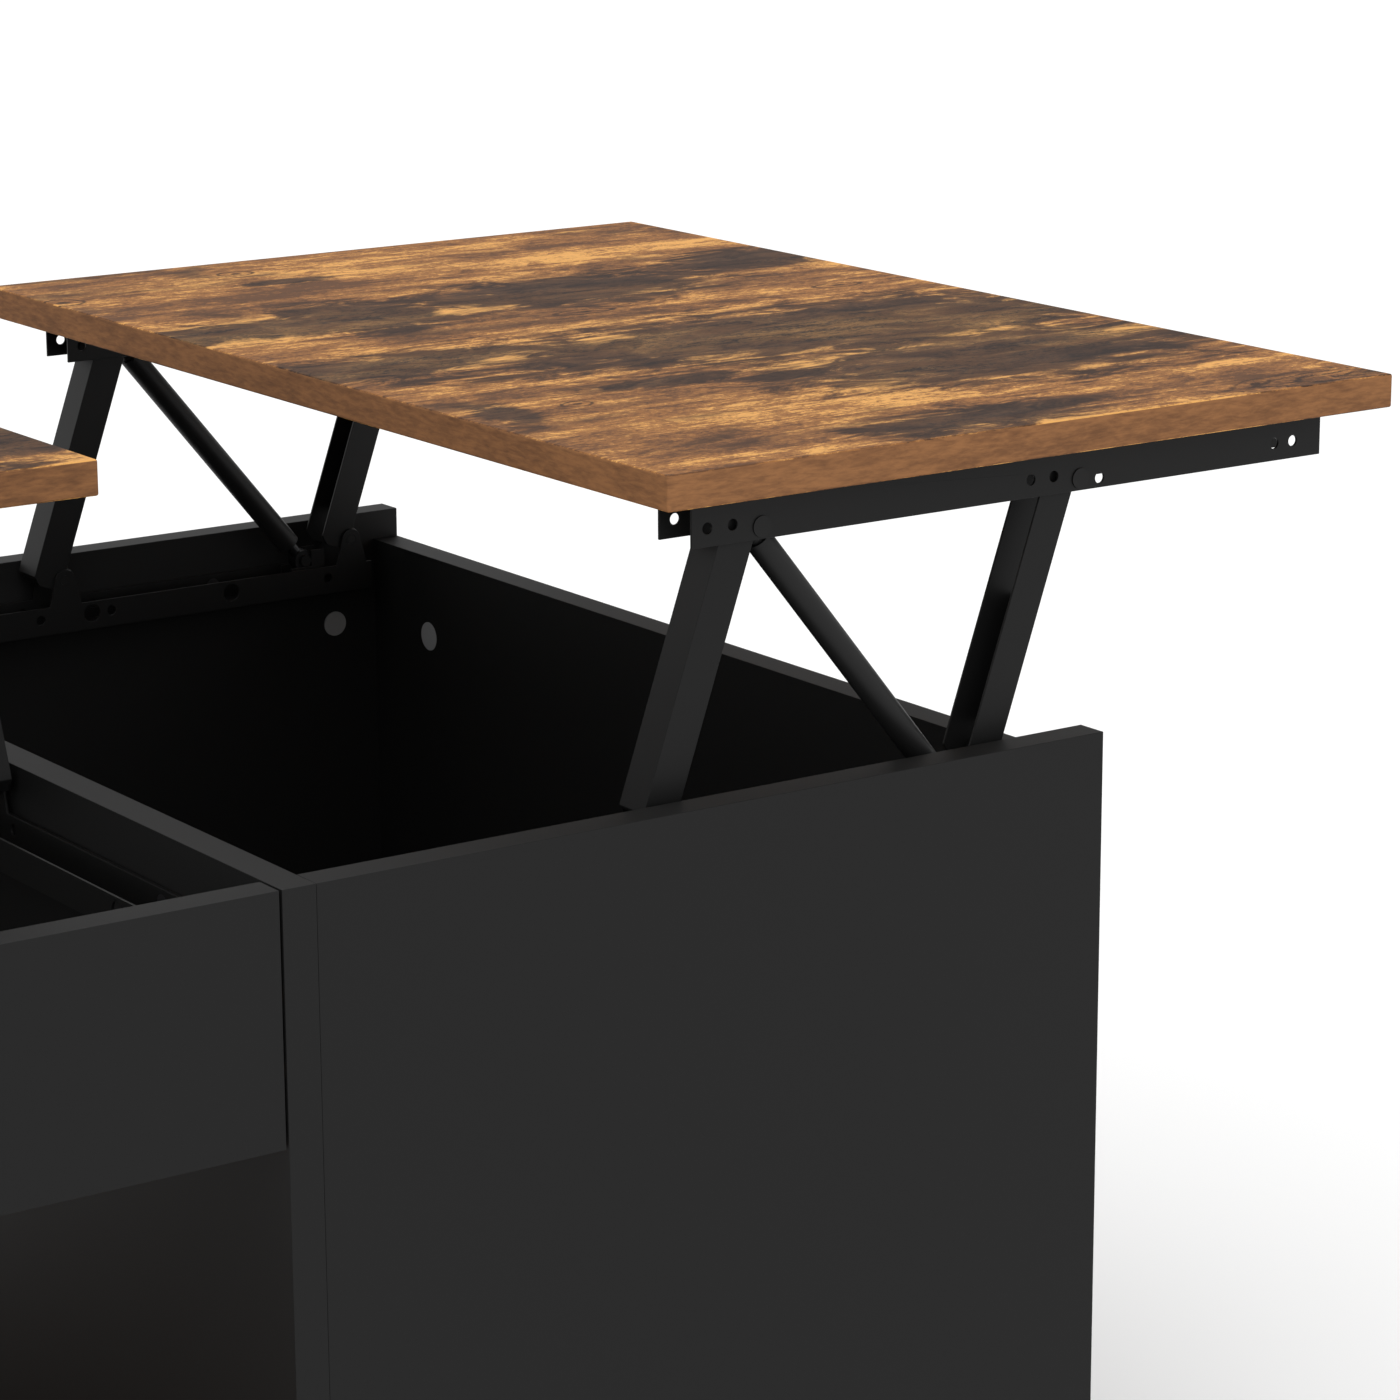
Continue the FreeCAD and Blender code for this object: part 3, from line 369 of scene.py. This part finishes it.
# Die-cast zinc, as cast: a flat light grey with only a dull gleam. Its skin is finer than the
# 0.8 mm drawn.
casting = grained_finish("die_cast_zinc", {
    "Base Color": linear(CAST_GREY), "Metallic": 0.3, "Roughness": 0.6},
    grain=(0.8, 0.8, 0.8), depth=0.03, detail=3)

# Moulded plastic cover disc: an even mid grey with a soft sheen. The mould's spark texture is
# about 0.2 mm and is drawn at 1 mm.
disc = grained_finish("moulded_disc", {
    "Base Color": linear(DISC_GREY), "Roughness": 0.5, "IOR": 1.5},
    grain=(1.0, 1.0, 1.0), depth=0.02, detail=3)

# Moulded plastic floor glide: black and dull, with the same spark texture a little deeper.
glide = grained_finish("moulded_glide", {
    "Base Color": linear(GLIDE_BLACK), "Roughness": 0.55, "IOR": 1.5},
    grain=(1.0, 1.0, 1.0), depth=0.03, detail=3)

dress("dowels", beech)
dress("cam_locks", casting)
dress("cam_bolts", zinc)
dress("cover_discs", disc)
dress("floor_glides", glide)

# ---------------------------------------------------------------------------------------------
# The lifting links, four in all. Rails and arms are channels pressed from 1.2 mm steel and powder
# coated, riveted together and screwed to panel and top. Each has a telescopic spring with a black
# nitrided rod; pins and rivets are blackened and the washers are nylon.
LINKS = ["right_near", "right_far", "left_inner", "left_outer"]
PRESSINGS = [("lower_rail", "rail_steel"), ("upper_rail", "rail_steel"),
             ("front_arm", "arm_steel"), ("rear_arm", "arm_steel"),
             ("rail_spacer", "spacer_steel")]
STEEL_EASE = 0.25
POWDER_BLACK = "#161616"
TUBE_BLACK = "#171717"
ROD_BLACK = "#2A2A2B"
RIVET_BLACK = "#161616"
NYLON_BLACK = "#202020"
SCREW_GREY = "#4A4A4C"

# Satin black powder coat: an even black whose edges catch a soft light. Its orange peel is a wave
# of about 1 mm, drawn at 1.4 mm.
powder = grained_finish("satin_black_powder_coat", {
    "Base Color": linear(POWDER_BLACK), "Roughness": 0.42, "IOR": 1.5,
    "Specular IOR Level": 0.14}, grain=(1.4, 1.4, 1.4), depth=0.03, strength=0.25)

# Black enamelled drawn tube: a little glossier than the powder coat, so that a faint streak of
# light runs along it. Its slow wave is about 2 mm.
tube = grained_finish("black_enamelled_tube", {
    "Base Color": linear(TUBE_BLACK), "Roughness": 0.46, "IOR": 1.5,
    "Specular IOR Level": 0.2}, grain=(2.0, 2.0, 2.0), depth=0.02, strength=0.15)

# Ground and black nitrided rod: dark grey metal with a clear gleam. The grinding marks are under
# 0.1 mm apart and are drawn at 0.5 mm.
rod = grained_finish("black_nitrided_rod", {
    "Base Color": linear(ROD_BLACK), "Metallic": 0.8, "Roughness": 0.35},
    grain=(0.5, 6, 6), depth=0.01, strength=0.1)

# Chemically blackened steel rivet: near black, with a weak metal gleam on its head. The oxide's
# grain is far finer than the 1 mm drawn.
blackened = grained_finish("blackened_steel_rivet", {
    "Base Color": linear(RIVET_BLACK), "Metallic": 0.2, "Roughness": 0.45,
    "Specular IOR Level": 0.2}, grain=(1.0, 1.0, 1.0), depth=0.02)

# Punched nylon washer: a thin ring of softer, warmer black with a waxy sheen. Its skin is finer
# than the 1 mm drawn.
nylon = grained_finish("black_nylon_washer", {
    "Base Color": linear(NYLON_BLACK), "Roughness": 0.5, "IOR": 1.53},
    grain=(1.0, 1.0, 1.0), depth=0.02)

# Black zinc plated screw: dark grey metal that stands out a little from the rail. Its crystals
# are finer than the 0.8 mm drawn.
screw = grained_finish("black_zinc_screw", {
    "Base Color": linear(SCREW_GREY), "Metallic": 0.8, "Roughness": 0.36},
    grain=(0.8, 0.8, 0.8), depth=0.02)

for link in LINKS:
    for part, slot_name in PRESSINGS:
        eased(f"{link}_{part}", STEEL_EASE, powder)
    dress(f"{link}_spring_barrel", tube)
    dress(f"{link}_spring_rod", rod)
for side in ("right", "left"):
    for part, finish in [("foot_rivets", blackened), ("upper_rivets", blackened),
                         ("pivot_washers", nylon), ("rail_screws", screw),
                         ("top_screws", screw), ("spring_pins", blackened)]:
        dress(f"{side}_{part}", finish)

# ---------------------------------------------------------------------------------------------
# The two lifting tops: 15 mm particle board with the rustic print above and below, screwed to the
# upper rails, and a thin printed tape glued round the four edges.
TAPE_LIGHT = "#8F6442"
TAPE_DARK = "#6A4A34"
TAPE_STOPS = [(0.30, TAPE_DARK), (0.66, TAPE_LIGHT)]
HAIR = (9, 9, 1.8)
PATCH = (45, 45, 14)
PATCH_START = (3, 1, 0)
HAIR_SHARE = 0.6
PATCH_SHARE = 0.4
HAIR_STRENGTH = 0.25
HAIR_DEPTH = 0.03
TOP_EASE = 0.5
SIDE_FACING = 0.5

# Each top's scorches, its knots and the seed of its layers.
TOP_PRINTS = {
    "right_top": ([(255, 250, 205, 66), (40, 278, 100, 32), (275, 145, 130, 62),
                   (225, 415, 90, 48), (360, 450, 50, 34), (105, 405, 46, 50),
                   (50, 400, 90, 30), (175, 24, 66, 24), (20, 150, 14, 30),
                   (130, 525, 32, 9), (120, 175, 44, 11)],
                  [(398, 10, 110, 22, 5), (120, 562, 16, 11, 2), (6, 530, 16, 16, 2),
                   (345, 350, 22, 9, 2), (196, 356, 26, 9, 2), (58, 152, 12, 9, 2)], 1.0),
    "left_top": ([(560, 70, 170, 62), (500, 250, 130, 40), (200, 420, 170, 50),
                  (120, 160, 110, 36), (420, 520, 90, 30), (330, 330, 60, 22)],
                 [(300, 210, 22, 10, 3), (90, 500, 20, 12, 2), (470, 420, 24, 9, 2)], 6.5),
}

# Printed edge tape: a plainer orange brown than the faces, with short fine hairs along the edge.
# Real hairs are about 0.5 mm apart and are drawn at 1.8 mm; the patches of tone are 45 mm long.
tape, tree, surface = finish_of("printed_edge_tape", PRINT_SHADER)
hair = add(tree, "TexNoise", links={
    "Vector": in_lengths(tree, HAIR), "Scale": 1.0, "Detail": 4, "Roughness": 0.65,
    "Distortion": 0.3})
patchy = add(tree, "TexNoise", links={
    "Vector": in_lengths(tree, PATCH, PATCH_START), "Scale": 1.0, "Detail": 3,
    "Roughness": 0.6, "Distortion": 0.4})
by_hair = add(tree, "Math", TIMES, {0: hair, 1: HAIR_SHARE})
by_patch = add(tree, "Math", TIMES, {0: patchy, 1: PATCH_SHARE})
shade = add(tree, "Math", PLUS, {0: by_hair, 1: by_patch})
tint = set_stops(add(tree, "ValToRGB", links={"Fac": shade}), TAPE_STOPS)
tree.links.new(tint.outputs["Color"], surface.inputs["Base Color"])
pressed = add(tree, "Bump", links={
    "Height": hair, "Strength": HAIR_STRENGTH, "Distance": HAIR_DEPTH * MM})
tree.links.new(pressed.outputs["Normal"], surface.inputs["Normal"])

for top, (scorches, knots, seed) in TOP_PRINTS.items():
    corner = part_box(top)[0] / MM
    printed = rustic_print(f"rustic_print_{top}", corner, scorches, knots, seed)
    piece = eased(top, TOP_EASE, printed)
    piece.data.materials.append(tape)
    for face in piece.data.polygons:
        face.material_index = 1 if abs(face.normal.z) < SIDE_FACING else 0

# ---------------------------------------------------------------------------------------------
# The studio: a floor of pale paper wide enough to fill the view, an even white sky as fill, one
# broad soft sun from high behind the camera, and the camera a little under a metre up.
FLOOR_SIDE = 60.0
FLOOR_PALE = "#F8F8F8"
SKY_WHITE = "#FFFFFF"
SKY_LIGHT = 1.0
SUN_LIGHT = 0.75
SUN_TURN = (40, 0, -35)
SUN_SPREAD = 70
EYE = Vector((-0.77215, -1.78143, 0.91352))
YAW, PITCH, ROLL = -34.967, -14.227, -0.244
SENSOR_WIDTH = 36
LENS = 113.16

bpy.ops.object.select_all(action="DESELECT")
bpy.ops.mesh.primitive_plane_add(size=FLOOR_SIDE, location=(0, 0, 0))
floor = bpy.context.active_object
floor.name = "studio_floor"

# Pale floor paper: matt and even, so that it shows only the soft shadow.
paper, tree, surface = finish_of("pale_floor_paper", {
    "Base Color": linear(FLOOR_PALE), "Roughness": 0.9, "Specular IOR Level": 0.0})
floor.data.materials.append(paper)

world = bpy.data.worlds.new("studio_sky")
world.use_nodes = True
bpy.context.scene.world = world
sky = world.node_tree.nodes["Background"]
sky.inputs["Color"].default_value = linear(SKY_WHITE)
sky.inputs["Strength"].default_value = SKY_LIGHT

light_data = bpy.data.lights.new("broad_sun", "SUN")
light_data.energy = SUN_LIGHT
light_data.angle = math.radians(SUN_SPREAD)
light = bpy.data.objects.new("broad_sun", light_data)
light.rotation_euler = [math.radians(turn) for turn in SUN_TURN]
bpy.context.scene.collection.objects.link(light)

camera_data = bpy.data.cameras.new("camera")
camera_data.sensor_width = SENSOR_WIDTH
camera_data.lens = LENS
camera = bpy.data.objects.new("camera", camera_data)
camera.matrix_world = (Matrix.Translation(EYE) @ Matrix.Rotation(math.radians(YAW), 4, "Z")
                       @ Matrix.Rotation(math.radians(90 + PITCH), 4, "X")
                       @ Matrix.Rotation(math.radians(ROLL), 4, "Z"))
bpy.context.scene.collection.objects.link(camera)
bpy.context.scene.camera = camera
bpy.context.scene.view_settings.view_transform = "Standard"
